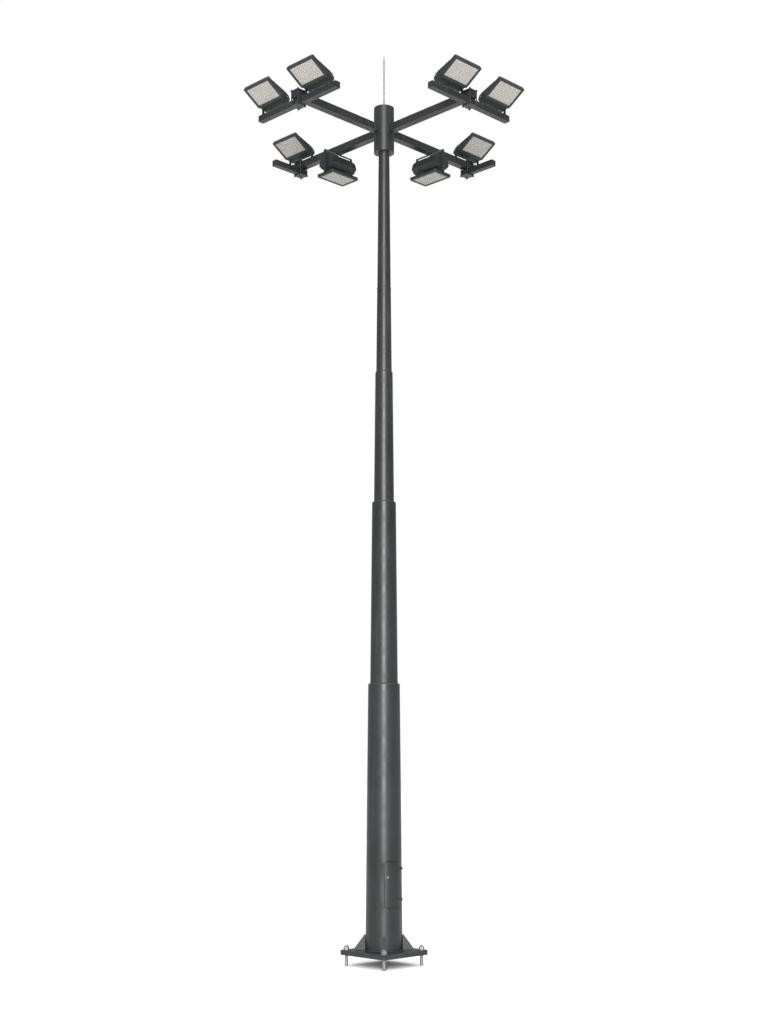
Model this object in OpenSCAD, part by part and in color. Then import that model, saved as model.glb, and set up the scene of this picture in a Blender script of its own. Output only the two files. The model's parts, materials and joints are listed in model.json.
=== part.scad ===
// High mast floodlight tower: a stepped, tapered steel mast on a raised base plate,
// with four tube arms at the top that carry eight LED floodlights on U-brackets.
// The origin is the centre of the base plate's underside, +Z is up and -Y is the front.

/* [Base] */
// Side of the square base plate, whose corners point along X and Y
plate_w = 1025; // [1000:5:1300]
// Thickness of the base plate
plate_t = 80; // [40:5:120]
// Height of the base plate's underside above the foundation
standoff_h = 175; // [80:5:300]
// Diameter of the circle that the anchor bolts stand on
anchor_circle_d = 1240; // [1150:5:1260]
// Diameter of an anchor bolt's plain shank
anchor_d = 56; // [30:1:68]
// Height of a gusset above the base plate
gusset_h = 245; // [120:5:400]
// Distance from the mast's axis to a gusset's toe
gusset_reach = 495; // [400:5:520]
// Thickness of a gusset
gusset_t = 25; // [10:1:40]

/* [Mast] */
// Outer diameter of the mast at the base plate
section_1_d = 616; // [510:2:740]
// Outer diameter at the foot of the second section
section_2_d = 469; // [390:1:500]
// Outer diameter at the foot of the third section
section_3_d = 347; // [300:1:380]
// Outer diameter at the foot of the fourth section
section_4_d = 272; // [255:1:290]
// Outer diameter at the foot of the top section
section_5_d = 240; // [200:1:245]
// Length of the first section
section_1_h = 4365; // [3600:5:5300]
// Length of the second section
section_2_h = 3130; // [2600:5:3800]
// Length of the third section
section_3_h = 2320; // [1900:5:2800]
// Length of the fourth section
section_4_h = 1530; // [1200:5:1900]
// Length of the top section, up to the hub's cap
section_5_h = 3388; // [2800:4:4000]
// Diameter that the mast loses in each metre of height
taper_per_m = 18; // [10:0.5:20]
// Wall of the mast
mast_wall = 8; // [4:0.5:12]
// Width of the bevel round the top rim of a section
rim_bevel = 14; // [4:1:14]

/* [Access door] */
// Width of the door opening, measured straight across
door_w = 340; // [260:5:400]
// Height of the door opening
door_h = 752; // [500:1:900]
// Height of the opening's lower edge above the base plate's underside
door_z = 769; // [500:1:1200]
// Direction that the door faces, in degrees from +X
door_az = -55; // [-90:5:0]
// Corner radius of the opening
door_corner_r = 36; // [20:1:80]
// Gap round the door
door_gap = 6; // [5:0.5:9]

/* [Hub and arms] */
// Diameter of the hub sleeve
hub_d = 366; // [300:2:440]
// Height of the hub sleeve
hub_h = 860; // [620:5:1100]
// Wall of the hub sleeve
hub_wall = 10; // [5:1:16]
// Depth of the arms' axes below the top of the hub
arm_drop = 446; // [370:2:540]
// Width and height of an arm's square tube
arm_w = 135; // [112:1:164]
// Wall of an arm
arm_wall = 6; // [3:0.5:10]
// Distance from the mast's axis to the end of a front arm
front_arm_reach = 2172; // [2172:1:2700]
// Distance from the mast's axis to the end of a rear arm
rear_arm_reach = 2350; // [2350:1:2800]
// Height of the lightning rod above the hub
rod_h = 1030; // [600:10:1600]
// Diameter of the lightning rod
rod_d = 25; // [14:1:34]

/* [Crossbars] */
// Width and height of a crossbar's square tube
bar_w = 110; // [90:1:132]
// Wall of a crossbar
bar_wall = 5; // [3:0.5:8]
// Distance from the mast's axis to a front crossbar
front_bar_r = 2073; // [1728:1:2073]
// Distance from the mast's axis to a rear crossbar
rear_bar_r = 2250; // [1875:1:2250]
// Length of a front crossbar
front_bar_l = 1970; // [1800:10:2400]
// Length of a rear crossbar outside its arm's centre line
rear_bar_l = 670; // [400:10:1000]
// Thickness of a clamp plate
clamp_t = 15; // [8:1:20]
// Diameter of a clamp bolt
clamp_bolt_d = 18; // [10:1:22]

/* [Floodlights] */
// Width of a floodlight's frame
lamp_w = 650; // [560:5:700]
// Height of a floodlight's frame
lamp_h = 435; // [400:5:480]
// Depth of a floodlight's frame
lamp_rim_t = 50; // [40:1:60]
// Depth of the housing at its deepest
lamp_depth = 150; // [125:1:180]
// Width of the frame round the LED window
bezel_w = 50; // [30:1:60]
// Angle that a floodlight on a front crossbar or rear arm looks down from level
lamp_tilt = 57; // [40:1:70]
// Distance from a front arm to the outer floodlight on its crossbar
outer_lamp_t = 612; // [560:1:640]
// Distance from a front arm to the inner floodlight on its crossbar
inner_lamp_t = 512; // [480:1:600]
// Distance from the mast's axis to the floodlight hung under a rear arm
hung_lamp_r = 1216; // [1100:1:1300]
// Depth of the hung floodlight's pivot below its arm
hung_drop = 417; // [400:1:500]
// Height of a standing floodlight's pivot above its seat
pivot_h = 150; // [140:1:180]
// Thickness of a U-bracket's strip
strip_t = 8; // [5:0.5:10]
// Width of a U-bracket's strip
strip_w = 50; // [36:1:52]

/* [Hidden] */
$fn = 96;
M = 1000;
seat_gap = 0.3;      // between a swivelling bracket and what it stands on
weld_gap = 0.2;      // between a tube and the curved wall that it is welded to
cut = 1;             // how far a cutter runs past a face

// Heights of the mast's joints
section_1_z = plate_t;
section_2_z = section_1_z + section_1_h;
section_3_z = section_2_z + section_2_h;
section_4_z = section_3_z + section_3_h;
section_5_z = section_4_z + section_4_h;
cap_t = 12;
hub_top_z = section_5_z + section_5_h + cap_t;
hub_bottom_z = hub_top_z - hub_h;
arm_z = hub_top_z - arm_drop;
arm_top_z = arm_z + arm_w / 2;
arm_bottom_z = arm_z - arm_w / 2;
bar_top_z = arm_bottom_z;
rim_plate_t = 16;

// Anchor bolts
hole_play = 3;
washer_d = anchor_d * 1.9;
washer_t = 8;
nut_af = anchor_d * 1.52;
nut_h = anchor_d * 0.8;
thread_d = anchor_d - 3;
thread_play = 0.05;
bolt_end_h = 24;

// Door, its hinges and its lock
door_leaf_t = mast_wall;
hinge_knuckle_r = 11;
hinge_pin_r = 6;
hinge_play = 0.3;
hinge_h = 34;
hinge_inset = 110;
hinge_stand_off = 3;
lock_r = 20;
lock_t = 10;
lock_inset = 46;
lock_z = door_z + door_h * 0.66;

// Arms and clamps
FRONT_LEFT = 225;
FRONT_RIGHT = 315;
REAR_LEFT = 135;
REAR_RIGHT = 45;
clamp_edge = 6;
clamp_bolt_at = arm_w / 2 + clamp_bolt_d / 2 + clamp_edge;
clamp_plate_w = 2 * (clamp_bolt_at + clamp_bolt_d / 2 + clamp_edge);

// Floodlight, in its own axes: the LED window looks along +X, the top edge is at +Z
lens_w = lamp_w - 2 * bezel_w;
lens_h = lamp_h - 2 * bezel_w;
lens_t = 8;
lens_recess = 12;
shell_t = 5;
shell_back_x = -lens_recess - shell_t - 2;
lens_play = 0.5;
lens_seat = 0.1;
rim_r = 28;
belly_w = lamp_w - 50;
belly_drop = 137;
pivot_x = -lamp_depth * 0.57;
pivot_z = -lamp_h / 2 - 52;
hung_pivot_x = -62;
hung_case_h = 270;
hung_case_d = 380;
hung_case_gap = 80;
hung_neck_w = 180;
hung_neck_d = 130;
pin_r = 10;
pin_play = 0.3;
boss_r = 18;
pin_head_r = 19;
pin_head_t = 10;
side_gap = 7;
standing_half_w = belly_w / 2 + side_gap;
hung_half_w = lamp_w / 2 + side_gap;
seat_bolt_r = 12;
seat_bolt_play = 0.5;
seat_bolt_af = 36;
seat_bolt_head_h = 15;

// Each floodlight: its name, its arm's direction, its place along the arm, its place across the arm,
// the height of its seat, the direction it faces, how far it looks down, and whether it hangs
LAMPS = [
    ["front_left_outer", FRONT_LEFT, front_bar_r, -outer_lamp_t, bar_top_z, FRONT_LEFT, lamp_tilt, false],
    ["front_left_inner", FRONT_LEFT, front_bar_r, inner_lamp_t, bar_top_z, FRONT_LEFT, lamp_tilt, false],
    ["front_right_outer", FRONT_RIGHT, front_bar_r, outer_lamp_t, bar_top_z, FRONT_RIGHT, lamp_tilt, false],
    ["front_right_inner", FRONT_RIGHT, front_bar_r, -inner_lamp_t, bar_top_z, FRONT_RIGHT, lamp_tilt, false],
    ["rear_left_end", REAR_LEFT, rear_bar_r, 0, arm_top_z + clamp_t, FRONT_LEFT, lamp_tilt, false],
    ["rear_left_hung", REAR_LEFT, hung_lamp_r, 0, arm_bottom_z, REAR_LEFT, 90, true],
    ["rear_right_end", REAR_RIGHT, rear_bar_r, 0, arm_top_z + clamp_t, FRONT_RIGHT, lamp_tilt, false],
    ["rear_right_hung", REAR_RIGHT, hung_lamp_r, 0, arm_bottom_z, REAR_RIGHT, 90, true],
];

// Each arm: its name, its direction, its reach, and where its crossbar crosses it and runs across it
ARMS = [
    ["front_left", FRONT_LEFT, front_arm_reach, front_bar_r, [-front_bar_l / 2, front_bar_l / 2]],
    ["front_right", FRONT_RIGHT, front_arm_reach, front_bar_r, [-front_bar_l / 2, front_bar_l / 2]],
    ["rear_left", REAR_LEFT, rear_arm_reach, rear_bar_r, [-clamp_plate_w / 2, rear_bar_l]],
    ["rear_right", REAR_RIGHT, rear_arm_reach, rear_bar_r, [-rear_bar_l, clamp_plate_w / 2]],
];

paint = [0.25, 0.26, 0.27];
galvanised = [0.62, 0.62, 0.61];
window = [0.74, 0.73, 0.69];

function mast_d(foot_d, foot_z, z) = foot_d - taper_per_m * (z - foot_z) / M;
function across(r, y) = sqrt(r * r - y * y);

// A flat plate with round corners, centred, from z = 0 up
module round_plate(w, h, t, r) {
    linear_extrude(t) {
        square([w - 2 * r, h], center = true);
        square([w, h - 2 * r], center = true);
        for (x = [-1, 1], y = [-1, 1])
            translate([x * (w / 2 - r), y * (h / 2 - r)]) circle(r);
    }
}

// Places its children where a floodlight's bracket bolt meets its seat, facing as the lamp does
module at_seat(lamp) {
    rotate([0, 0, lamp[1]])
        translate([lamp[2], lamp[3], lamp[4]])
            rotate([0, 0, lamp[5] - lamp[1]]) children();
}

// Places its children, drawn in the floodlight's own axes, on the bracket's pivot
module at_pivot(lamp) {
    hung = lamp[7];
    at_seat(lamp)
        translate([0, 0, hung ? -hung_drop : pivot_h])
            rotate([0, lamp[6], 0])
                translate(hung ? [-hung_pivot_x, 0, 0] : [-pivot_x, 0, -pivot_z]) children();
}

module base_plate() {
    color(paint)
        rotate([0, 0, 45])
            difference() {
                round_plate(plate_w, plate_w, plate_t, 12);
                rotate([0, 0, 45])
                    for (a = [0:90:270])
                        rotate([0, 0, a])
                            translate([anchor_circle_d / 2, 0, -cut])
                                cylinder(h = plate_t + 2 * cut, r = anchor_d / 2 + hole_play);
            }
}

module gussets() {
    foot = mast_d(section_1_d, section_1_z, plate_t) / 2 + weld_gap;
    head = mast_d(section_1_d, section_1_z, plate_t + gusset_h) / 2 + weld_gap;
    toe_h = 22;
    head_w = 20;
    color(paint)
        for (a = [0:90:270])
            rotate([90, 0, a])
                translate([0, 0, -gusset_t / 2])
                    linear_extrude(gusset_t)
                        polygon([
                            [foot, plate_t], [gusset_reach, plate_t], [gusset_reach, plate_t + toe_h],
                            [head + head_w, plate_t + gusset_h], [head, plate_t + gusset_h],
                        ]);
}

module anchor_bolts() {
    thread_h = washer_t + nut_h + bolt_end_h;
    chamfer = 4;
    color(galvanised)
        for (a = [0:90:270])
            rotate([0, 0, a])
                translate([anchor_circle_d / 2, 0, 0]) {
                    translate([0, 0, -standoff_h]) cylinder(h = standoff_h + plate_t, d = anchor_d);
                    translate([0, 0, plate_t]) cylinder(h = thread_h - chamfer, d = thread_d);
                    translate([0, 0, plate_t + thread_h - chamfer])
                        cylinder(h = chamfer, d1 = thread_d, d2 = thread_d - 2 * chamfer);
                }
}

module anchor_nuts() {
    color(galvanised)
        for (a = [0:90:270])
            rotate([0, 0, a])
                translate([anchor_circle_d / 2, 0, plate_t])
                    difference() {
                        union() {
                            cylinder(h = washer_t, d = washer_d);
                            translate([0, 0, washer_t])
                                cylinder(h = nut_h, d = nut_af / cos(30), $fn = 6);
                        }
                        translate([0, 0, -cut])
                            cylinder(h = washer_t + nut_h + 2 * cut, r = thread_d / 2 + thread_play);
                    }
}

// A tapered tube whose top is closed in by a bevelled ring, on which the next section stands
module mast_section(foot_d, foot_z, top_z, ring_bore_d) {
    foot = foot_d / 2;
    top = mast_d(foot_d, foot_z, top_z) / 2;
    bevel = min(rim_bevel, top - ring_bore_d / 2 - mast_wall - 1);
    rotate_extrude()
        polygon([
            [foot - mast_wall, foot_z], [foot, foot_z], [top, top_z - bevel], [top - bevel, top_z],
            [ring_bore_d / 2, top_z], [ring_bore_d / 2, top_z - rim_plate_t],
            [top - mast_wall, top_z - rim_plate_t],
        ]);
}

function bore_under(foot_d) = foot_d - 2 * mast_wall;

module mast_section_1() {
    color(paint) {
        difference() {
            mast_section(section_1_d, section_1_z, section_2_z, bore_under(section_2_d));
            door_cutter(door_w, door_h, door_corner_r);
        }
        for (z = hinge_heights()) mast_knuckle(z);
    }
}

module mast_section_2() {
    color(paint) mast_section(section_2_d, section_2_z, section_3_z, bore_under(section_3_d));
}

module mast_section_3() {
    color(paint) mast_section(section_3_d, section_3_z, section_4_z, bore_under(section_4_d));
}

module mast_section_4() {
    color(paint) mast_section(section_4_d, section_4_z, section_5_z, bore_under(section_5_d));
}

module mast_section_5() {
    top_z = hub_top_z - cap_t;
    color(paint)
        rotate_extrude()
            polygon([
                [section_5_d / 2 - mast_wall, section_5_z], [section_5_d / 2, section_5_z],
                [mast_d(section_5_d, section_5_z, top_z) / 2, top_z],
                [mast_d(section_5_d, section_5_z, top_z) / 2 - mast_wall, top_z],
            ]);
}

// The solid that cuts the door's outline through one side of the mast
module door_cutter(w, h, r) {
    rotate([0, 0, door_az])
        translate([section_1_d / 4, 0, door_z + door_h / 2])
            rotate([90, 0, 90]) round_plate(w, h, section_1_d / 2, r);
}

function hinge_heights() = [door_z + hinge_inset, door_z + door_h - hinge_inset - hinge_h];
hinge_y = door_w / 2 + hinge_knuckle_r + 4;
hinge_r = mast_d(section_1_d, section_1_z, door_z) / 2 + hinge_knuckle_r + hinge_stand_off;
hinge_x = across(hinge_r, hinge_y);

// The mast's half of a lift-off hinge: a knuckle on a welded lug, with the pin standing in it
module mast_knuckle(z) {
    wall_x = across(mast_d(section_1_d, section_1_z, z) / 2 - mast_wall / 2, hinge_y + hinge_knuckle_r);
    rotate([0, 0, door_az]) {
        translate([hinge_x, hinge_y, z]) cylinder(h = hinge_h / 2, r = hinge_knuckle_r);
        translate([hinge_x, hinge_y, z]) cylinder(h = hinge_h, r = hinge_pin_r);
        translate([wall_x, hinge_y, z]) cube([hinge_x - wall_x, hinge_knuckle_r, hinge_h / 2]);
    }
}

// The door's half: a knuckle that drops over the pin, on a strap along the leaf
module leaf_knuckle(z) {
    strap_end_y = door_w / 2 - 90;
    leaf_r = mast_d(section_1_d, section_1_z, z) / 2;
    strap_t = 7;
    sink = 3;
    bottom = z + hinge_h / 2 + 1;
    rotate([0, 0, door_az])
        translate([0, 0, bottom])
            difference() {
                union() {
                    translate([hinge_x, hinge_y]) cylinder(h = hinge_h / 2, r = hinge_knuckle_r);
                    linear_extrude(hinge_h / 2)
                        polygon([
                            [across(leaf_r, strap_end_y) - sink, strap_end_y],
                            [across(leaf_r, strap_end_y) + strap_t, strap_end_y],
                            [hinge_x + hinge_knuckle_r, hinge_y],
                            [hinge_x, hinge_y],
                            [across(leaf_r, door_w / 2 - door_gap - 14) - sink, door_w / 2 - door_gap - 14],
                        ]);
                }
                translate([hinge_x, hinge_y, -cut])
                    cylinder(h = hinge_h / 2 + 2 * cut, r = hinge_pin_r + hinge_play);
            }
}

// The leaf is a piece of the mast's own wall, with straps to its hinges and a round lock
module access_door() {
    foot = mast_d(section_1_d, section_1_z, door_z) / 2;
    head = mast_d(section_1_d, section_1_z, door_z + door_h) / 2;
    lock_at_r = mast_d(section_1_d, section_1_z, lock_z) / 2;
    lock_turn = asin((door_w / 2 - door_gap - lock_inset) / lock_at_r);
    color(paint) {
        intersection() {
            rotate_extrude()
                polygon([
                    [foot - door_leaf_t, door_z], [foot, door_z],
                    [head, door_z + door_h], [head - door_leaf_t, door_z + door_h],
                ]);
            door_cutter(door_w - 2 * door_gap, door_h - 2 * door_gap, door_corner_r - door_gap);
        }
        for (z = hinge_heights()) leaf_knuckle(z);
        rotate([0, 0, door_az - lock_turn])
            translate([lock_at_r - door_leaf_t / 2, 0, lock_z])
                rotate([0, 90, 0]) cylinder(h = door_leaf_t / 2 + lock_t, r = lock_r);
    }
}

module hub() {
    bore = mast_d(section_5_d, section_5_z, hub_bottom_z) / 2 + weld_gap;
    r = hub_d / 2;
    bevel = 6;
    color(paint)
        rotate_extrude()
            polygon([
                [bore, hub_bottom_z], [r, hub_bottom_z], [r, hub_top_z - bevel], [r - bevel, hub_top_z],
                [0, hub_top_z], [0, hub_top_z - cap_t], [r - hub_wall, hub_top_z - cap_t],
                [r - hub_wall, hub_bottom_z + cap_t], [bore, hub_bottom_z + cap_t],
            ]);
}

module lightning_rod() {
    flange_r = 45;
    flange_t = 10;
    socket_r = rod_d / 2 + 9;
    socket_h = 60;
    tip_h = 120;
    tip_r = 3;
    color(galvanised)
        translate([0, 0, hub_top_z])
            rotate_extrude()
                polygon([
                    [0, 0], [flange_r, 0], [flange_r, flange_t], [socket_r, flange_t],
                    [socket_r, socket_h], [rod_d / 2, socket_h], [rod_d / 2, rod_h - tip_h],
                    [tip_r, rod_h], [0, rod_h],
                ]);
}

// A square tube whose root follows the hub's round wall and whose end is closed
module arm(a) {
    reach = a[2];
    color(paint)
        rotate([0, 0, a[1]])
            difference() {
                translate([0, -arm_w / 2, arm_bottom_z]) cube([reach, arm_w, arm_w]);
                translate([-cut, -arm_w / 2 + arm_wall, arm_bottom_z + arm_wall])
                    cube([reach - arm_wall + cut, arm_w - 2 * arm_wall, arm_w - 2 * arm_wall]);
                translate([0, 0, hub_bottom_z]) cylinder(h = hub_h, r = hub_d / 2 + weld_gap);
            }
}

// A closed square tube that runs across under its arm
module crossbar(a) {
    from = a[4][0];
    to = a[4][1];
    color(paint)
        rotate([0, 0, a[1]])
            translate([a[3] - bar_w / 2, from, arm_bottom_z - bar_w])
                difference() {
                    cube([bar_w, to - from, bar_w]);
                    translate([bar_wall, bar_wall, bar_wall])
                        cube([bar_w - 2 * bar_wall, to - from - 2 * bar_wall, bar_w - 2 * bar_wall]);
                }
}

// Two plates and four bolts that hold each crossbar up against its arm
module arm_clamps() {
    inner_h = arm_w + bar_w;
    color(paint)
        for (a = ARMS)
            rotate([0, 0, a[1]])
                translate([a[3], 0, arm_bottom_z - bar_w]) {
                    translate([0, 0, -clamp_t]) round_plate(clamp_plate_w, clamp_plate_w, clamp_t, 8);
                    translate([0, 0, inner_h]) round_plate(clamp_plate_w, clamp_plate_w, clamp_t, 8);
                    for (x = [-1, 1], y = [-1, 1])
                        translate([x * clamp_bolt_at, y * clamp_bolt_at, -clamp_t / 2])
                            cylinder(h = inner_h + clamp_t, d = clamp_bolt_d);
                }
}

// The bolt that each bracket swivels on, from its seat through the strip
module bracket_bolts() {
    shank_h = strip_t + 2 * seat_gap;
    color(galvanised)
        for (lamp = LAMPS)
            at_seat(lamp)
                mirror([0, 0, lamp[7] ? 1 : 0]) {
                    cylinder(h = shank_h, r = seat_bolt_r);
                    translate([0, 0, shank_h])
                        cylinder(h = seat_bolt_head_h, d = seat_bolt_af / cos(30), $fn = 6);
                }
}

// A U of flat strip with a bolt hole in its base and a pivot hole in each leg
module bracket(lamp) {
    hung = lamp[7];
    half_w = hung ? hung_half_w : standing_half_w;
    leg_h = hung ? hung_drop : pivot_h;
    color(paint)
        at_seat(lamp)
            mirror([0, 0, hung ? 1 : 0])
                difference() {
                    union() {
                        translate([-strip_w / 2, -half_w - strip_t, seat_gap])
                            cube([strip_w, 2 * (half_w + strip_t), strip_t]);
                        for (side = [-1, 1])
                            translate([0, side * (half_w + strip_t / 2), 0]) {
                                translate([-strip_w / 2, -strip_t / 2, seat_gap])
                                    cube([strip_w, strip_t, leg_h - seat_gap]);
                                translate([0, strip_t / 2, leg_h])
                                    rotate([90, 0, 0]) cylinder(h = strip_t, d = strip_w);
                            }
                    }
                    translate([0, 0, -cut]) cylinder(h = strip_t + 2 * cut, r = seat_bolt_r + seat_bolt_play);
                    translate([0, half_w + strip_t + cut, leg_h])
                        rotate([90, 0, 0])
                            cylinder(h = 2 * (half_w + strip_t + cut), r = pin_r + pin_play);
                }
}

// A standing floodlight's shell in profile: it deepens and drops towards the lower edge
module belly_profile(inset) {
    top = lamp_h / 2;
    front_x = inset > 0 ? shell_back_x : 5 - lamp_rim_t;
    polygon([
        [front_x, top - 24 - inset * 4], [-lamp_rim_t - 10 + inset, top - 30 - inset * 2],
        [-lamp_depth * 0.7 + inset, 0], [-lamp_depth + inset, -top + 8],
        [-lamp_depth + inset, -top - belly_drop * 0.55 + inset / 4],
        [-lamp_depth * 0.74 + inset / 2, -top - belly_drop + inset],
        [-lamp_depth * 0.38 - inset, -top - belly_drop + inset],
        inset > 0 ? [front_x, -top - 20] : [-6, -top + 2],
        [front_x, -top + 2],
    ]);
}

// A hung floodlight's case in profile: eight-sided, above the frame and clear of it
module hung_profile(inset) {
    low = lamp_rim_t + hung_case_gap + inset;
    high = lamp_rim_t + hung_case_gap + hung_case_h - inset;
    wide = hung_case_d / 2 - inset;
    narrow = hung_case_d / 6;
    shoulder = hung_case_d * 0.4 - inset;
    polygon([
        [-low, wide * 0.6], [-low - hung_case_h * 0.3, wide], [-low - hung_case_h * 0.7, shoulder],
        [-high, narrow], [-high, -narrow],
        [-low - hung_case_h * 0.7, -shoulder], [-low - hung_case_h * 0.3, -wide], [-low, -wide * 0.6],
    ]);
}

// The space inside a hung floodlight's frame
module hung_frame_profile() {
    translate([shell_t - lamp_rim_t, -lamp_h / 2 + bezel_w / 2])
        square([lamp_rim_t - lens_recess - 2 * shell_t, lamp_h - bezel_w]);
}

// Extrudes a profile drawn in the floodlight's depth and height across its width
module across_lamp(w) {
    translate([0, w / 2, 0]) rotate([90, 0, 0]) linear_extrude(w) children();
}

// A shallow frame in front of a closed cast shell, with a pivot boss and pin on each side
module floodlight(lamp) {
    hung = lamp[7];
    half_w = hung ? hung_half_w : standing_half_w;
    px = hung ? hung_pivot_x : pivot_x;
    pz = hung ? 0 : pivot_z;
    pin_end = half_w + strip_t + pin_play;
    boss_start = belly_w / 2 - (hung ? 70 : 20);
    color(paint)
        at_pivot(lamp)
            difference() {
                union() {
                    translate([-lamp_rim_t, 0, 0])
                        rotate([90, 0, 90]) round_plate(lamp_w, lamp_h, lamp_rim_t, rim_r);
                    if (hung) {
                        across_lamp(belly_w) hung_profile(0);
                        across_lamp(hung_neck_w)
                            translate([5 - lamp_rim_t - hung_case_gap - 10, -hung_neck_d / 2])
                                square([hung_case_gap + 10, hung_neck_d]);
                    } else {
                        across_lamp(belly_w) belly_profile(0);
                    }
                    for (side = [-1, 1])
                        translate([px, -side * boss_start, pz])
                            rotate([side * 90, 0, 0]) {
                                cylinder(h = half_w - boss_start - 0.5, r = boss_r);
                                cylinder(h = pin_end - boss_start, r = pin_r);
                                translate([0, 0, pin_end - boss_start])
                                    cylinder(h = pin_head_t, r = pin_head_r);
                            }
                }
                translate([-lens_recess, 0, 0])
                    rotate([90, 0, 90])
                        round_plate(lens_w + 2 * lens_play, lens_h + 2 * lens_play, lens_recess + cut, 9);
                across_lamp(belly_w - 2 * shell_t)
                    if (hung) hung_profile(shell_t);
                    else belly_profile(shell_t);
                if (hung) across_lamp(belly_w - 2 * shell_t) hung_frame_profile();
            }
}

module lens(lamp) {
    color(window)
        at_pivot(lamp)
            translate([-lens_recess + lens_seat, 0, 0])
                rotate([90, 0, 90]) round_plate(lens_w, lens_h, lens_t, 8);
}

base_plate();
gussets();
anchor_bolts();
anchor_nuts();
mast_section_1();
mast_section_2();
mast_section_3();
mast_section_4();
mast_section_5();
access_door();
hub();
lightning_rod();
arm_clamps();
bracket_bolts();
for (a = ARMS) {
    arm(a);
    crossbar(a);
}
for (lamp = LAMPS) {
    bracket(lamp);
    floodlight(lamp);
    lens(lamp);
}
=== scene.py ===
import json
import math
import random

import bmesh
import bpy
from mathutils import Matrix, Vector


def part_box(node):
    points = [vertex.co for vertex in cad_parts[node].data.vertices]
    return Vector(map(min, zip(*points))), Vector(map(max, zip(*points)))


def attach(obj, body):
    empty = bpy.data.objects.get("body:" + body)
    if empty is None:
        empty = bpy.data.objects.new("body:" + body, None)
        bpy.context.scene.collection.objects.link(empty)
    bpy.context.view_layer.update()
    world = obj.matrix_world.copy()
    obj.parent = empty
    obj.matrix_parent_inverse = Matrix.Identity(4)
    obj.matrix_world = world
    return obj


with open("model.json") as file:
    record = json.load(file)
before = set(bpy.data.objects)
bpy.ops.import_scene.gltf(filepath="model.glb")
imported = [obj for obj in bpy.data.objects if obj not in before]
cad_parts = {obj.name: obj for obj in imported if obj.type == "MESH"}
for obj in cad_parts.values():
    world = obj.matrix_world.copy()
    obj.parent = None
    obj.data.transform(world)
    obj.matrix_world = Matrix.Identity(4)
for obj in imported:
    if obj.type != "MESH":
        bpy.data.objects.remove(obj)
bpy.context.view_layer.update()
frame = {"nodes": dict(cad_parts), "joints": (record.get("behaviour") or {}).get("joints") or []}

random.seed(7)

JOINTS = {j["name"]: j for j in frame["joints"]}
NODES = frame["nodes"]

# Heights and radii that the CAD's boxes give, in metres
GROUND_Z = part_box("anchor_bolts")[0][2]
PLATE_TOP_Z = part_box("base_plate")[1][2]
HUB_LOW, HUB_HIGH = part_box("hub")
HUB_R = HUB_HIGH[0]
SECTION_BOXES = [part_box(f"mast_section_{i}") for i in range(1, 6)]
MAST_FEET = [(high[1], low[2]) for low, high in SECTION_BOXES]  # radius and height of each foot

# Sizes that the CAD is drawn with, in metres. The mast's diameter shrinks by MAST_TAPER a metre
MAST_TAPER = 0.018
ANCHOR_CIRCLE_R = 0.620
GUSSET_REACH, GUSSET_HALF_T, GUSSET_H = 0.493, 0.0125, 0.243
ARM_W = 0.135
BAR_W = 0.110
ARM_Z = 14.379
CLAMP_T = 0.015
CLAMP_BOLT_AT = 0.0825
FRONT_BAR_R, REAR_BAR_R = 2.073, 2.250
FRONT_BAR_HALF_L, REAR_BAR_L, REAR_BAR_STUB = 0.985, 0.670, 0.0975
FRONT_ARM_REACH, REAR_ARM_REACH = 2.172, 2.350
DOOR_AZ = math.radians(-55)
DOOR_LOCK_Y, DOOR_LOCK_Z = 0.118, 1.26532
DOOR_GAP, HINGE_INSET, HINGE_H, KNUCKLE_TOP = 0.006, 0.110, 0.034, 0.0352

# Floodlight: the lens face looks along +X in its own axes, with its top edge at +Z
LAMP_W, LAMP_H = 0.650, 0.435
WINDOW_W, WINDOW_H = 0.550, 0.335
BELLY_W = 0.600
LENS_FACE_X = -0.0039
PIVOT_X, PIVOT_Z = -0.0855, -0.2695
HUNG_PIVOT_X = -0.062
STANDING_TILT, HUNG_TILT = 57, 90
STANDING_PIN_END, HUNG_PIN_END = 0.3253, 0.3503
COVER_X, COVER_Z = (-0.111 - 0.057) / 2, -0.3545
LAMPS = {
    name.removeprefix("tilt_"): joint for name, joint in JOINTS.items() if name.startswith("tilt_")
}


# ---------------------------------------------------------------- materials


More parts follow.
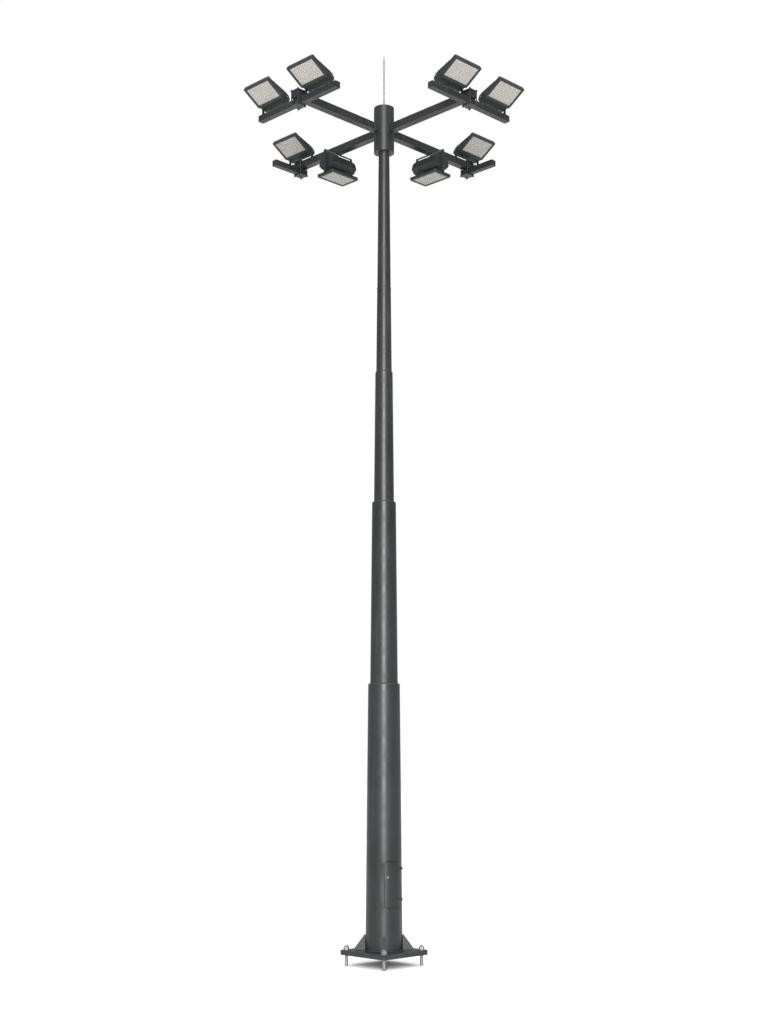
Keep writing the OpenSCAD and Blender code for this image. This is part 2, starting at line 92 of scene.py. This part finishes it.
class Nodes:
    """Short calls for building one material's node tree."""

    def __init__(self, name):
        self.material = bpy.data.materials.new(name)
        self.material.use_nodes = True
        self.tree = self.material.node_tree
        self.shader = self.tree.nodes["Principled BSDF"]
        self.place = self.add("ShaderNodeTexCoord").outputs["Object"]

    def add(self, kind, **values):
        node = self.tree.nodes.new(kind)
        for key, value in values.items():
            if hasattr(node, key):
                setattr(node, key, value)
            else:
                node.inputs[key.replace("_", " ")].default_value = value
        return node

    def link(self, a, b):
        self.tree.links.new(a, b)

    def stretched(self, scale):
        mapping = self.add("ShaderNodeMapping", Scale=scale)
        self.link(self.place, mapping.inputs["Vector"])
        return mapping.outputs["Vector"]

    def noise(self, scale, detail=4.0, rough=0.55, where=None):
        node = self.add("ShaderNodeTexNoise", Scale=scale, Detail=detail, Roughness=rough)
        self.link(where or self.place, node.inputs["Vector"])
        return node.outputs["Fac"]

    def ramp(self, factor, *stops):
        node = self.add("ShaderNodeValToRGB")
        band = node.color_ramp
        while len(band.elements) < len(stops):
            band.elements.new(0.5)
        for element, (at, value) in zip(band.elements, stops):
            element.position = at
            element.color = value if len(value) == 4 else (*value, 1.0)
        self.link(factor, node.inputs["Fac"])
        return node.outputs["Color"]

    def mix(self, factor, a, b, blend="MIX"):
        node = self.add("ShaderNodeMix", data_type="RGBA", blend_type=blend)
        for value, socket in ((factor, node.inputs[0]), (a, node.inputs[6]), (b, node.inputs[7])):
            if isinstance(value, (int, float)):
                socket.default_value = value
            elif isinstance(value, tuple):
                socket.default_value = (*value, 1.0)
            else:
                self.link(value, socket)
        return node.outputs[2]

    def bump(self, height, strength, distance, under=None):
        node = self.add("ShaderNodeBump", Strength=strength, Distance=distance)
        self.link(height, node.inputs["Height"])
        if under:
            self.link(under, node.inputs["Normal"])
        return node.outputs["Normal"]


def grey(value):
    return (value, value, value)


def charcoal_paint(name, dark, light, dust, roughness):
    """Dark satin paint: cloudy tone, rain streaks, pale specks and fine orange peel."""
    m = Nodes(name)
    clouds = m.ramp(m.noise(0.9, 5.0), (0.35, dark), (0.68, light))
    streaks = m.noise(1.0, 6.0, 0.6, m.stretched((26.0, 26.0, 0.45)))
    streak_mask = m.ramp(streaks, (0.55, grey(0.0)), (0.72, grey(dust)))
    specks = m.ramp(m.noise(55.0, 3.0), (0.62, grey(0.0)), (0.76, grey(0.35)))
    tone = m.mix(streak_mask, clouds, (0.10, 0.098, 0.094))
    tone = m.mix(specks, tone, tuple(c * 1.7 for c in light))
    m.link(tone, m.shader.inputs["Base Color"])
    rough = m.ramp(m.noise(6.0, 6.0), (0.3, grey(roughness)), (0.75, grey(roughness + 0.16)))
    m.link(rough, m.shader.inputs["Roughness"])
    peel = m.bump(m.noise(420.0, 2.0), 0.10, 0.0006)
    m.link(m.bump(m.noise(3.5, 3.0), 0.10, 0.004, peel), m.shader.inputs["Normal"])
    m.shader.inputs["Specular IOR Level"].default_value = 0.33
    return m.material


def galvanised_steel(name, dark, light):
    """Hot-dip zinc: spangle cells under a dull pale bloom."""
    m = Nodes(name)
    cells = m.add("ShaderNodeTexVoronoi", Scale=85.0)
    m.link(m.place, cells.inputs["Vector"])
    spangle = m.ramp(cells.outputs["Color"], (0.2, dark), (0.85, light))
    bloom = m.ramp(m.noise(14.0, 5.0), (0.5, grey(0.0)), (0.75, grey(0.5)))
    m.link(m.mix(bloom, spangle, (0.27, 0.27, 0.26)), m.shader.inputs["Base Color"])
    rough = m.ramp(m.noise(30.0, 4.0), (0.3, grey(0.34)), (0.75, grey(0.56)))
    m.link(rough, m.shader.inputs["Roughness"])
    m.link(m.bump(m.noise(160.0, 4.0), 0.25, 0.0008), m.shader.inputs["Normal"])
    m.shader.inputs["Metallic"].default_value = 0.55
    return m.material


def led_board(name):
    """Warm pale board behind the clear cover: soft clouds and fine dark specks."""
    m = Nodes(name)
    tone = m.ramp(m.noise(38.0, 4.0), (0.3, (0.200, 0.190, 0.172)), (0.7, (0.245, 0.234, 0.212)))
    specks = m.ramp(m.noise(120.0, 2.0), (0.60, grey(0.0)), (0.66, grey(0.55)))
    m.link(m.mix(specks, tone, (0.11, 0.11, 0.12)), m.shader.inputs["Base Color"])
    rough = m.ramp(m.noise(60.0, 3.0), (0.3, grey(0.22)), (0.8, grey(0.36)))
    m.link(rough, m.shader.inputs["Roughness"])
    m.link(m.bump(m.noise(220.0, 2.0), 0.15, 0.0006), m.shader.inputs["Normal"])
    m.shader.inputs["Coat Weight"].default_value = 0.15
    m.shader.inputs["Coat Roughness"].default_value = 0.20
    return m.material


def led_optic(name):
    """Moulded optic over a chip: a pale top with painted shade that darkens its sides as they turn
    away from view, thinly coated.
    """
    m = Nodes(name)
    tone = m.ramp(m.noise(90.0, 3.0), (0.3, (0.165, 0.158, 0.145)), (0.7, (0.265, 0.255, 0.235)))
    # Painted shade: the base colour darkens where the dome's surface turns away from the view,
    # standing in for its shaded sides
    facing = m.add("ShaderNodeLayerWeight", Blend=0.45).outputs["Facing"]
    edge = m.ramp(facing, (0.15, grey(0.0)), (0.75, grey(0.8)))
    m.link(m.mix(edge, tone, (0.10, 0.10, 0.105)), m.shader.inputs["Base Color"])
    rough = m.ramp(m.noise(70.0, 3.0), (0.3, grey(0.30)), (0.8, grey(0.42)))
    m.link(rough, m.shader.inputs["Roughness"])
    m.link(m.bump(m.noise(300.0, 2.0), 0.08, 0.0004), m.shader.inputs["Normal"])
    m.shader.inputs["Coat Weight"].default_value = 0.15
    m.shader.inputs["Coat Roughness"].default_value = 0.25
    return m.material


def floor_paper(name):
    """Matte white paper with the faintest fibre."""
    m = Nodes(name)
    tone = m.ramp(m.noise(0.4, 3.0), (0.3, grey(0.86)), (0.7, grey(0.88)))
    m.link(tone, m.shader.inputs["Base Color"])
    m.link(m.bump(m.noise(60.0, 3.0), 0.05, 0.001), m.shader.inputs["Normal"])
    m.shader.inputs["Roughness"].default_value = 0.95
    m.shader.inputs["Specular IOR Level"].default_value = 0.1
    return m.material


PAINT = charcoal_paint(
    "charcoal_paint", (0.008, 0.0085, 0.009), (0.014, 0.015, 0.016), dust=0.14, roughness=0.33
)
HOUSING = charcoal_paint(
    "coated_casting", (0.007, 0.0085, 0.0085), (0.012, 0.014, 0.014), dust=0.06, roughness=0.46
)
WELD = charcoal_paint(
    "painted_weld", (0.012, 0.0125, 0.013), (0.020, 0.021, 0.022), dust=0.12, roughness=0.40
)
ZINC = galvanised_steel("galvanised_steel", (0.10, 0.10, 0.10), (0.21, 0.21, 0.205))
BOARD = led_board("led_board")
OPTIC = led_optic("led_optic")

# ---------------------------------------------------------------- mesh tools

SHARP_ANGLE = math.radians(35)
BEAD_SIDES = 7
BEAD_STEP = 0.006
BEAD_WAVE = 0.009
BEAD_LEAN = Vector((0.31, 0.17, 0.93))  # a direction that no bead runs along


def finish_piece(bm, name, body, material, smooth=True):
    """Turns a bmesh into a piece with one material, which rides on a body."""
    bmesh.ops.remove_doubles(bm, verts=bm.verts, dist=1e-6)
    bmesh.ops.recalc_face_normals(bm, faces=bm.faces)
    mesh = bpy.data.meshes.new(name)
    bm.to_mesh(mesh)
    bm.free()
    mesh.materials.append(material)
    piece = bpy.data.objects.new(name, mesh)
    bpy.context.scene.collection.objects.link(piece)
    if smooth:
        for polygon in mesh.polygons:
            polygon.use_smooth = True
        mesh.set_sharp_from_angle(angle=SHARP_ANGLE)
    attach(piece, body)


def turn_z(degrees):
    return Matrix.Rotation(math.radians(degrees), 4, "Z")


def shift(x, y, z):
    return Matrix.Translation((x, y, z))


def facing(side):
    """Nothing for the positive side, and a half turn round X for the negative one."""
    return Matrix.Rotation(math.pi, 4, "X") if side < 0 else Matrix.Identity(4)


UP_X = Matrix.Rotation(math.radians(90), 4, "Y")
UP_Y = Matrix.Rotation(math.radians(-90), 4, "X")


def circle(radius, count):
    """Points (x, y) round a circle, from +X."""
    angles = (2 * math.pi * k / count for k in range(count))
    return [(radius * math.cos(a), radius * math.sin(a)) for a in angles]


def band(bm, low, high):
    """The faces between two loops of vertices."""
    count = len(low)
    for k in range(count):
        bm.faces.new((low[k], low[(k + 1) % count], high[(k + 1) % count], high[k]))


def close_ends(bm, low, high):
    bm.faces.new(list(reversed(low)))
    bm.faces.new(high)


def rings(bm, matrix, profile, sides):
    """A solid turned round the matrix's Z, from (radius, height) rings listed end to end."""
    loops = [
        [bm.verts.new(matrix @ Vector((x, y, height))) for x, y in circle(radius, sides)]
        for radius, height in profile
    ]
    for low, high in zip(loops, loops[1:]):
        band(bm, low, high)
    close_ends(bm, loops[0], loops[-1])


def slab(bm, matrix, outline, depth):
    """An outline of (x, y) points, given in order, thickened along the matrix's Z."""
    low = [bm.verts.new(matrix @ Vector((x, y, 0))) for x, y in outline]
    high = [bm.verts.new(matrix @ Vector((x, y, depth))) for x, y in outline]
    band(bm, low, high)
    close_ends(bm, low, high)


def hex_nut(bm, matrix, flats, height):
    """A hexagon with its corners turned down at both ends."""
    r = flats / 2 / math.cos(math.pi / 6)
    end_r = flats / 2 * 0.97
    lip = height * 0.12
    rings(bm, matrix, [(end_r, 0), (r, lip), (r, height - lip), (end_r, height)], 6)


def washer(bm, matrix, radius, height):
    """A flat disc with bevelled edges."""
    edge = height * 0.3
    profile = [(radius - edge, 0), (radius, edge), (radius, height - edge), (radius - edge, height)]
    rings(bm, matrix, profile, 28)


def bolt_end(bm, matrix, radius, height):
    """A rolled thread's end: ridges that run out into a turned-down point."""
    profile = [(radius, 0)]
    pitch = radius * 0.22
    steps = max(2, int((height - radius * 0.25) / pitch))
    for k in range(steps):
        profile.append((radius * 0.93, (k + 0.5) * pitch))
        profile.append((radius, (k + 1) * pitch))
    profile.append((radius * 0.78, height))
    rings(bm, matrix, profile, 20)


def bead(bm, path, radius, closed, ripple=0.18):
    """A round run along a path of points, with the small scallops that a weld pool leaves."""
    count = len(path)
    loops = []
    run = 0.0
    for i, point in enumerate(path):
        before = path[i - 1] if closed or i else point
        after = path[(i + 1) % count] if closed or i < count - 1 else point
        run += (point - before).length
        along = (after - before).normalized()
        side = along.cross(BEAD_LEAN).normalized()
        up = side.cross(along)
        scallop = 1 + ripple * math.sin(2 * math.pi * run / BEAD_WAVE)
        r = radius * scallop * random.uniform(0.93, 1.07)
        loops.append([
            bm.verts.new(point + r * (side * math.cos(a) + up * math.sin(a)))
            for a in (2 * math.pi * k / BEAD_SIDES for k in range(BEAD_SIDES))
        ])
    for low, high in zip(loops, loops[1:]):
        band(bm, low, high)
    if closed:
        band(bm, loops[-1], loops[0])
    else:
        close_ends(bm, loops[0], loops[-1])


def circle_path(radius, z):
    count = int(2 * math.pi * radius / BEAD_STEP)
    return [Vector((x, y, z)) for x, y in circle(radius, count)]


def line_path(start, end):
    count = max(2, int((end - start).length / BEAD_STEP))
    return [start.lerp(end, k / count) for k in range(count + 1)]


def rounded_square(half, corner):
    """The (x, y) outline of a square with rounded corners."""
    steps = 4
    outline = []
    for cx, cy, start in ((1, 1, 0), (-1, 1, 90), (-1, -1, 180), (1, -1, 270)):
        for k in range(steps + 1):
            a = math.radians(start + 90 * k / steps)
            outline.append((
                cx * (half - corner) + corner * math.cos(a),
                cy * (half - corner) + corner * math.sin(a),
            ))
    return outline


def four_corners(x, y):
    """The corners (x, y) of a rectangle round the origin."""
    return [(sx * x, sy * y) for sx in (-1, 1) for sy in (-1, 1)]


# ---------------------------------------------------------------- mast and base


def mast_radius(section, z):
    """The mast's outer radius at a height, on the section with this index."""
    foot_r, foot_z = MAST_FEET[section]
    return foot_r - MAST_TAPER / 2 * (z - foot_z)


def mast_welds():
    """The fillet round the foot and where each section stands on the one below."""
    foot_size, step_size = 0.009, 0.0055
    bm = bmesh.new()
    for section, (radius, z) in enumerate(MAST_FEET):
        size = step_size if section else foot_size
        bead(bm, circle_path(radius + size * 0.35, z + size * 0.35), size, True)
    finish_piece(bm, "mast_welds", "mast", WELD)


def gusset_welds():
    """The fillets on both sides of each gusset, along the plate and up the mast."""
    bm = bmesh.new()
    foot_r, foot_z = MAST_FEET[0]
    top_z = foot_z + GUSSET_H
    top_r = mast_radius(0, top_z)
    size = 0.005
    sunk = size * 0.3
    for k in range(4):
        spin = turn_z(90 * k)
        for side in (-1, 1):
            y = side * (GUSSET_HALF_T + sunk)
            low = Vector((math.sqrt(foot_r ** 2 - y * y) + sunk, y, foot_z + sunk))
            toe = Vector((GUSSET_REACH, y, foot_z + sunk))
            top = Vector((math.sqrt(top_r ** 2 - y * y) + sunk, y, top_z))
            bead(bm, [spin @ p for p in line_path(low, toe)], size, False)
            bead(bm, [spin @ p for p in line_path(low, top)], size, False)
    finish_piece(bm, "gusset_welds", "mast", WELD)


def anchor_threads():
    """Thread on the part of each anchor bolt that stands out of its nut."""
    low, pitch, radius, ridge = PLATE_TOP_Z + 0.0535, 0.0055, 0.0264, 0.0013
    turns, steps = 3.2, 36
    bm = bmesh.new()
    for k in range(4):
        centre = turn_z(90 * k) @ Vector((ANCHOR_CIRCLE_R, 0, 0))
        path = []
        for s in range(int(turns * steps)):
            a = 2 * math.pi * s / steps
            z = low + pitch * s / steps
            path.append(centre + Vector((radius * math.cos(a), radius * math.sin(a), z)))
        bead(bm, path, ridge, False, ripple=0.0)
    finish_piece(bm, "anchor_threads", "mast", ZINC)


def hub_details():
    """Weld where the mast enters the hub, the cap's ring of screws and the rod's screws."""
    cap_z = HUB_HIGH[2]
    bm = bmesh.new()
    weld_r = mast_radius(4, HUB_LOW[2]) + 0.002
    bead(bm, circle_path(weld_r, HUB_LOW[2] - 0.002), 0.0055, True)
    finish_piece(bm, "hub_weld", "mast", WELD)

    cap_screw_r, clamp_screw_r, flange_screw_r = 0.135, 0.0205, 0.034
    washer_t = 0.003
    bm = bmesh.new()
    for k in range(6):
        place = turn_z(30 + 60 * k) @ shift(cap_screw_r, 0, cap_z)
        washer(bm, place, 0.014, washer_t)
        hex_nut(bm, place @ shift(0, 0, washer_t), 0.019, 0.008)
    for k in range(3):
        hex_nut(bm, turn_z(120 * k) @ shift(clamp_screw_r, 0, cap_z + 0.040) @ UP_X, 0.010, 0.007)
    for k in range(4):
        hex_nut(bm, turn_z(45 + 90 * k) @ shift(flange_screw_r, 0, cap_z + 0.010), 0.011, 0.006)
    finish_piece(bm, "hub_screws", "mast", ZINC)


def door_lock():
    """A turned lock barrel with a three-sided key post in its recess."""
    radius = mast_radius(0, DOOR_LOCK_Z)
    angle = DOOR_AZ - math.asin(DOOR_LOCK_Y / radius)
    stands_out = 0.010
    barrel = [(0.0175, 0), (0.0175, 0.003), (0.0160, 0.0045), (0.0110, 0.0045), (0.0105, 0.0015)]
    post = [(0.0062, 0), (0.0062, 0.003), (0.0052, 0.0036)]
    face = Matrix.Rotation(angle, 4, "Z") @ shift(radius + stands_out, 0, DOOR_LOCK_Z) @ UP_X
    bm = bmesh.new()
    rings(bm, face, barrel, 32)
    rings(bm, face @ shift(0, 0, 0.0012), post, 3)
    finish_piece(bm, "door_lock", "door", ZINC)


def hinge_caps():
    """Turned caps on the top knuckles of the door's two lift-off hinges."""
    x, y, _ = JOINTS["door_hinge"]["pos_m"]
    low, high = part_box("access_door")[0][2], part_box("access_door")[1][2]
    cap = [(0.0092, 0), (0.0105, 0.0012), (0.0100, 0.0040), (0.0060, 0.0055)]
    bm = bmesh.new()
    for z in (low - DOOR_GAP + HINGE_INSET, high + DOOR_GAP - HINGE_INSET - HINGE_H):
        rings(bm, shift(x, y, z + KNUCKLE_TOP), cap, 24)
    finish_piece(bm, "hinge_caps", "door", PAINT)


# ---------------------------------------------------------------- arms and clamps

# Each arm's azimuth, its crossbar's distance out, its own reach and the crossbar's two ends
ARMS = {
    "front_left": (225, FRONT_BAR_R, FRONT_ARM_REACH, (-FRONT_BAR_HALF_L, FRONT_BAR_HALF_L)),
    "front_right": (315, FRONT_BAR_R, FRONT_ARM_REACH, (-FRONT_BAR_HALF_L, FRONT_BAR_HALF_L)),
    "rear_left": (135, REAR_BAR_R, REAR_ARM_REACH, (-REAR_BAR_STUB, REAR_BAR_L)),
    "rear_right": (45, REAR_BAR_R, REAR_ARM_REACH, (-REAR_BAR_L, REAR_BAR_STUB)),
}


def arm_welds():
    """The run round each arm's root, where the square tube meets the round hub."""
    half = ARM_W / 2
    corners = [(-half, -half), (half, -half), (half, half), (-half, half)]
    steps, spread = 22, 1.02
    bm = bmesh.new()
    for azimuth, *_ in ARMS.values():
        spin = turn_z(azimuth)
        path = []
        for (y0, z0), (y1, z1) in zip(corners, corners[1:] + corners[:1]):
            for k in range(steps):
                y, z = y0 + (y1 - y0) * k / steps, z0 + (z1 - z0) * k / steps
                x = math.sqrt(HUB_R ** 2 - y * y) + 0.002
                path.append(spin @ Vector((x, y * spread, ARM_Z + z * spread)))
        bead(bm, path, 0.006, True)
    finish_piece(bm, "arm_welds", "mast", WELD)


def end_caps():
    """Pressed caps that close the arms' and crossbars' ends."""
    inset, cap_t = 0.004, 0.003
    arm_cap = rounded_square(ARM_W / 2 - inset, 0.012)
    bar_cap = rounded_square(BAR_W / 2 - inset, 0.010)
    bar_z = ARM_Z - ARM_W / 2 - BAR_W / 2
    bm = bmesh.new()
    for azimuth, bar_r, reach, ends in ARMS.values():
        spin = turn_z(azimuth)
        slab(bm, spin @ shift(reach, 0, ARM_Z) @ UP_X, arm_cap, cap_t)
        for end in ends:
            slab(bm, spin @ shift(bar_r, end, bar_z) @ facing(end) @ UP_Y, bar_cap, cap_t)
    finish_piece(bm, "end_caps", "mast", PAINT)


def clamp_nuts():
    """Washer, nut and bolt end at both ends of every clamp bolt."""
    top = ARM_Z + ARM_W / 2 + CLAMP_T
    low = ARM_Z - ARM_W / 2 - BAR_W - CLAMP_T
    washer_t, nut_h = 0.0028, 0.014
    bm = bmesh.new()
    for azimuth, bar_r, *_ in ARMS.values():
        for x, y in four_corners(CLAMP_BOLT_AT, CLAMP_BOLT_AT):
            for z, side in ((top, 1), (low, -1)):
                place = turn_z(azimuth) @ shift(bar_r + x, y, z) @ facing(side)
                place = place @ Matrix.Rotation(random.uniform(0, math.pi), 4, "Z")
                washer(bm, place, 0.0150, washer_t)
                hex_nut(bm, place @ shift(0, 0, washer_t), 0.026, nut_h)
                bolt_end(bm, place @ shift(0, 0, washer_t + nut_h), 0.0088, 0.008)
    finish_piece(bm, "clamp_nuts", "mast", PAINT)


# ---------------------------------------------------------------- floodlights


def is_hung(name):
    return name.endswith("hung")


def lamp_matrix(name):
    """The floodlight's own axes at rest, from its tilt joint's pivot and axis."""
    joint = LAMPS[name]
    azimuth = math.atan2(-joint["axis"][0], joint["axis"][1])
    tilt = math.radians(HUNG_TILT if is_hung(name) else STANDING_TILT)
    pivot = (HUNG_PIVOT_X, 0, 0) if is_hung(name) else (PIVOT_X, 0, PIVOT_Z)
    return (
        Matrix.Translation(joint["pos_m"])
        @ Matrix.Rotation(azimuth, 4, "Z")
        @ Matrix.Rotation(tilt, 4, "Y")
        @ Matrix.Translation(-Vector(pivot))
    )


def led_optics(name, place):
    """Moulded lens domes over the LEDs, in rows across the window."""
    columns, rows, radius = 13, 8, 0.0145
    column_pitch, row_pitch = (WINDOW_W - 0.030) / columns, (WINDOW_H - 0.020) / rows
    dome = [(radius, 0), (radius * 0.93, 0.0013), (radius * 0.7, 0.0024), (radius * 0.3, 0.0031)]
    bm = bmesh.new()
    for column in range(columns):
        for row in range(rows):
            y = (column - (columns - 1) / 2) * column_pitch
            z = (row - (rows - 1) / 2) * row_pitch
            rings(bm, place @ shift(LENS_FACE_X, y, z) @ UP_X, dome, 12)
    finish_piece(bm, f"led_optics_{name}", f"floodlight_{name}", OPTIC)


def bezel_screws(name, place):
    """Pan-head screws that hold the window's frame."""
    edge = 0.024
    half_w, half_h = LAMP_W / 2 - edge, LAMP_H / 2 - edge
    across = [half_w * share for share in (-0.92, -0.31, 0.31, 0.92)]
    up = [half_h * share for share in (-0.4, 0.4)]
    spots = [(y, z) for y in across for z in (-half_h, half_h)]
    spots += [(y, z) for y in (-half_w, half_w) for z in up]
    head = [(0.0070, 0), (0.0070, 0.0008), (0.0055, 0.0021), (0.0030, 0.0026)]
    bm = bmesh.new()
    for y, z in spots:
        rings(bm, place @ shift(0, y, z) @ UP_X, head, 16)
    finish_piece(bm, f"bezel_screws_{name}", f"floodlight_{name}", HOUSING)


def mirrored(half):
    """A run of (x, z) points, followed by its own mirror image below."""
    return half + [(x, -z) for x, z in reversed(half)]


def cooling_fins(name, place):
    """Low cast fins down the back of the housing, which run out at their ends."""
    if is_hung(name):
        back = mirrored([(-0.2130, 0.189), (-0.3180, 0.151), (-0.3990, 0.062)])
        crest = mirrored([(-0.2260, 0.194), (-0.3260, 0.160), (-0.4080, 0.064)])
    else:
        back = [(-0.0565, 0.189), (-0.1035, 0.002), (-0.1485, -0.206), (-0.1485, -0.285)]
        crest = [(-0.0640, 0.180), (-0.1170, 0.004), (-0.1610, -0.202), (-0.1610, -0.262)]
    outline = back + crest[::-1]
    count, thickness = 19, 0.0035
    pitch = (BELLY_W - 0.05) / (count - 1)
    upright = Matrix.Rotation(math.radians(90), 4, "X")
    bm = bmesh.new()
    for k in range(count):
        y = (k - (count - 1) / 2) * pitch
        slab(bm, place @ shift(0, y + thickness / 2, 0) @ upright, outline, thickness)
    finish_piece(
        bm, f"cooling_fins_{name}", f"floodlight_{name}", HOUSING, smooth=False
    )


def pivot_bolts(name, place):
    """A hexagon head on each end of the tilt pivot."""
    end = HUNG_PIN_END if is_hung(name) else STANDING_PIN_END
    x, z = (HUNG_PIVOT_X, 0) if is_hung(name) else (PIVOT_X, PIVOT_Z)
    bm = bmesh.new()
    for side in (-1, 1):
        seat = place @ shift(x, side * end, z) @ facing(side) @ UP_Y
        hex_nut(bm, seat, 0.022, 0.005)
    finish_piece(bm, f"pivot_bolts_{name}", f"floodlight_{name}", ZINC)


def driver_cover(name, place):
    """The driver compartment's cover plate under the belly, with its four screws."""
    half_x, half_y, corner, cover_t = 0.022, 0.200, 0.006, 0.0025
    outline = [
        (half_x - corner, half_y), (corner - half_x, half_y),
        (-half_x, half_y - corner), (-half_x, corner - half_y),
        (corner - half_x, -half_y), (half_x - corner, -half_y),
        (half_x, corner - half_y), (half_x, half_y - corner),
    ]
    head = [(0.0045, 0), (0.0045, 0.0008), (0.0030, 0.0020)]
    face = place @ shift(COVER_X, 0, COVER_Z) @ facing(-1)
    bm = bmesh.new()
    slab(bm, face, outline, cover_t)
    for x, y in four_corners(half_x - 0.008, half_y - 0.012):
        rings(bm, face @ shift(x, y, cover_t), head, 12)
    finish_piece(bm, f"driver_cover_{name}", f"floodlight_{name}", HOUSING)


# ---------------------------------------------------------------- carried-over nodes

ZINCED = ("anchor_bolts", "anchor_nuts", "bracket_bolts", "lightning_rod")


def node_material(name):
    if name.startswith("lens_"):
        return BOARD
    if name.startswith("floodlight_"):
        return HOUSING
    if name in ZINCED:
        return ZINC
    return PAINT


for name, node in NODES.items():
    if not node.material_slots:
        node.data.materials.append(node_material(name))
    for material_slot in node.material_slots:
        material_slot.material = node_material(name)

mast_welds()
gusset_welds()
anchor_threads()
hub_details()
door_lock()
hinge_caps()
arm_welds()
end_caps()
clamp_nuts()
for lamp in LAMPS:
    here = lamp_matrix(lamp)
    led_optics(lamp, here)
    bezel_screws(lamp, here)
    cooling_fins(lamp, here)
    pivot_bolts(lamp, here)
    if not is_hung(lamp):
        driver_cover(lamp, here)

# ---------------------------------------------------------------- floor, light and camera

FLOOR_HALF = 150.0
floor_sides = ((-1, -1), (1, -1), (1, 1), (-1, 1))
floor_mesh = bpy.data.meshes.new("floor")
floor_corners = [(sx * FLOOR_HALF, sy * FLOOR_HALF, GROUND_Z) for sx, sy in floor_sides]
floor_mesh.from_pydata(floor_corners, [], [(0, 1, 2, 3)])
floor_mesh.materials.append(floor_paper("floor_paper"))
floor = bpy.data.objects.new("floor", floor_mesh)
bpy.context.scene.collection.objects.link(floor)

# The backdrop is plain white, and the fill that it gives is softer than it looks
FILL_STRENGTH, BACKDROP_STRENGTH = 0.48, 1.0
world = bpy.data.worlds.new("studio")
bpy.context.scene.world = world
world.use_nodes = True
studio = world.node_tree
fill = studio.nodes["Background"]
backdrop = studio.nodes.new("ShaderNodeBackground")
for background, strength in ((fill, FILL_STRENGTH), (backdrop, BACKDROP_STRENGTH)):
    background.inputs["Color"].default_value = (1.0, 1.0, 1.0, 1.0)
    background.inputs["Strength"].default_value = strength
rays = studio.nodes.new("ShaderNodeLightPath")
either = studio.nodes.new("ShaderNodeMixShader")
studio.links.new(rays.outputs["Is Camera Ray"], either.inputs[0])
studio.links.new(fill.outputs["Background"], either.inputs[1])
studio.links.new(backdrop.outputs["Background"], either.inputs[2])
studio.links.new(either.outputs["Shader"], studio.nodes["World Output"].inputs["Surface"])


def add_light(name, kind, energy, place):
    data = bpy.data.lights.new(name, kind)
    data.energy = energy
    light = bpy.data.objects.new(name, data)
    light.location = place
    bpy.context.scene.collection.objects.link(light)
    return light


# A tall box behind the camera draws the bright line down the middle of the mast
FRONT_BOX_AT, FRONT_BOX_AIM = Vector((-0.5, -40.0, 15.0)), Vector((0.0, 0.0, 7.5))
FRONT_BOX_W, FRONT_BOX_H, FRONT_BOX_WATTS = 8.0, 28.0, 36000.0
front_box = add_light("front_box", "AREA", FRONT_BOX_WATTS, FRONT_BOX_AT)
front_box.data.shape = "RECTANGLE"
front_box.data.size, front_box.data.size_y = FRONT_BOX_W, FRONT_BOX_H
front_box.rotation_euler = (FRONT_BOX_AIM - FRONT_BOX_AT).to_track_quat("-Z", "Y").to_euler()

# A wide light straight above evens out the floor and keeps its shadow under the plate
OVERHEAD_STRENGTH, OVERHEAD_SPREAD = 2.5, 70
overhead = add_light("overhead", "SUN", OVERHEAD_STRENGTH, (0.0, 0.0, 30.0))
overhead.data.angle = math.radians(OVERHEAD_SPREAD)

CAMERA_DISTANCE, CAMERA_HEIGHT = 25.14, 3.194
CAMERA_PITCH = 9.5
CAMERA_LENS, SENSOR_WIDTH, VIEW_DEPTH = 51.75, 36.0, 500.0
camera_data = bpy.data.cameras.new("camera")
camera_data.lens = CAMERA_LENS
camera_data.sensor_width = SENSOR_WIDTH
camera_data.clip_end = VIEW_DEPTH
camera = bpy.data.objects.new("camera", camera_data)
camera.location = (0.0, -CAMERA_DISTANCE, CAMERA_HEIGHT)
camera.rotation_euler = (math.radians(90 + CAMERA_PITCH), 0.0, 0.0)
bpy.context.scene.collection.objects.link(camera)
bpy.context.scene.camera = camera
bpy.context.scene.view_settings.view_transform = "Standard"
